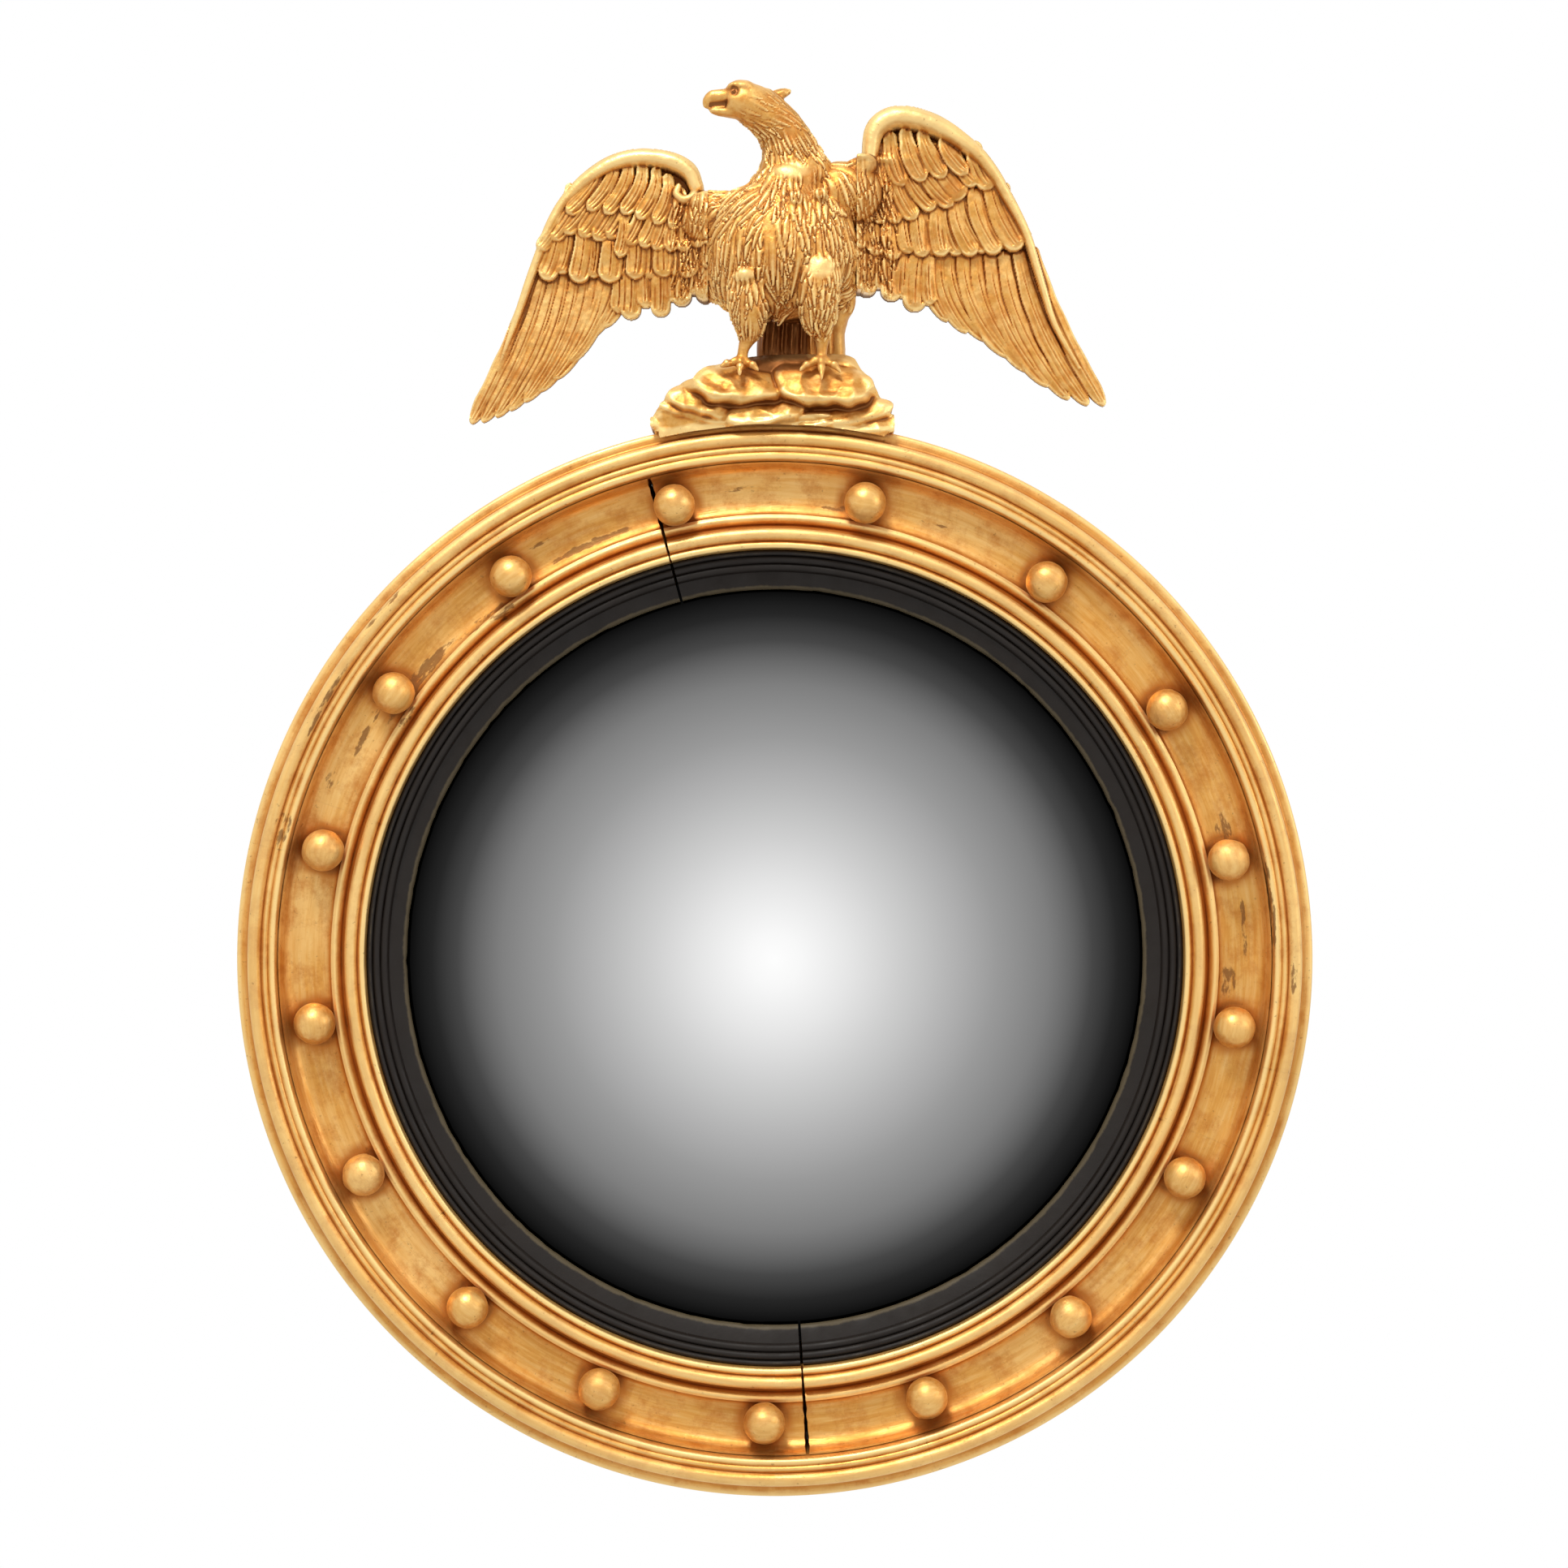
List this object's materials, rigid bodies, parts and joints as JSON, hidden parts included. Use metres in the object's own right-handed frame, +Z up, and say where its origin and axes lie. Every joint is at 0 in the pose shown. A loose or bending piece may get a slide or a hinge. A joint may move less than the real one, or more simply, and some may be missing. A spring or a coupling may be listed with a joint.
{
  "type": "girandole mirror",
  "caption": "Round convex wall mirror in a gilded, reeded frame set with turned balls, with an ebonised slip and a carved spread eagle on a rock mound as its crest.",
  "frame": {"origin": "centre of the round frame, on the back plane that lies against the wall", "axes": "+X to the viewer's right, +Y from the front into the wall, +Z up"},
  "size_m": [0.62, 0.0711, 0.8149],
  "materials": {
    "gilding": "burnished and matt gold leaf over red bole, worn",
    "carved_gilding": "gold leaf over carved and gessoed wood, darker in the cuts",
    "ebonising": "satin black over turned wood",
    "silvered_plate": "polished convex plate, silvered behind",
    "bare_pine": "unfinished, darkened with age",
    "wrought_iron": "dark, slightly rusted",
    "brass_fittings": "dull, unlacquered"
  },
  "bodies": {
    "mirror": {"ball_01": "gilding", "ball_02": "gilding", "ball_03": "gilding", "ball_04": "gilding", "ball_05": "gilding", "ball_06": "gilding", "ball_07": "gilding", "ball_08": "gilding", "ball_09": "gilding", "ball_10": "gilding", "ball_11": "gilding", "ball_12": "gilding", "ball_13": "gilding", "ball_14": "gilding", "ball_15": "gilding", "ball_16": "gilding", "ball_17": "gilding", "felloe_01": "gilding", "felloe_02": "gilding", "felloe_03": "gilding", "felloe_04": "gilding", "felloe_05": "gilding", "felloe_06": "gilding", "rim_moulding_01": "gilding", "rim_moulding_02": "gilding", "rim_moulding_03": "gilding", "rim_moulding_04": "gilding", "rim_moulding_05": "gilding", "rim_moulding_06": "gilding", "rock_base": "carved_gilding", "eagle_body": "carved_gilding", "wing_left": "carved_gilding", "wing_right": "carved_gilding", "slip_right": "ebonising", "slip_left": "ebonising", "mirror_plate": "silvered_plate", "packing_block_01": "bare_pine", "packing_block_02": "bare_pine", "packing_block_03": "bare_pine", "packing_block_04": "bare_pine", "backboard_plank_01": "bare_pine", "backboard_plank_02": "bare_pine", "backboard_plank_03": "bare_pine", "wing_dowel_left": "bare_pine", "wing_dowel_right": "bare_pine", "crest_bracket": "wrought_iron", "bracket_screw_01": "wrought_iron", "bracket_screw_02": "wrought_iron", "bracket_screw_03": "wrought_iron", "bracket_screw_04": "wrought_iron", "hanger_strap_left": "brass_fittings", "hanger_strap_right": "brass_fittings", "strap_screw_left_01": "brass_fittings", "strap_screw_left_02": "brass_fittings", "strap_screw_right_01": "brass_fittings", "strap_screw_right_02": "brass_fittings"},
    "left_ring": {"d_ring_left": "brass_fittings"},
    "right_ring": {"d_ring_right": "brass_fittings"}
  },
  "joints": [
    {"name": "left_ring_swing", "type": "hinge", "parent": "mirror", "child": "left_ring", "pos_m": [-0.12, -0.0039, 0.233], "axis": [0, 0, 1], "range_deg": [0, 165]},
    {"name": "right_ring_swing", "type": "hinge", "parent": "mirror", "child": "right_ring", "pos_m": [0.12, -0.0039, 0.233], "axis": [0, 0, -1], "range_deg": [0, 165]}
  ]
}
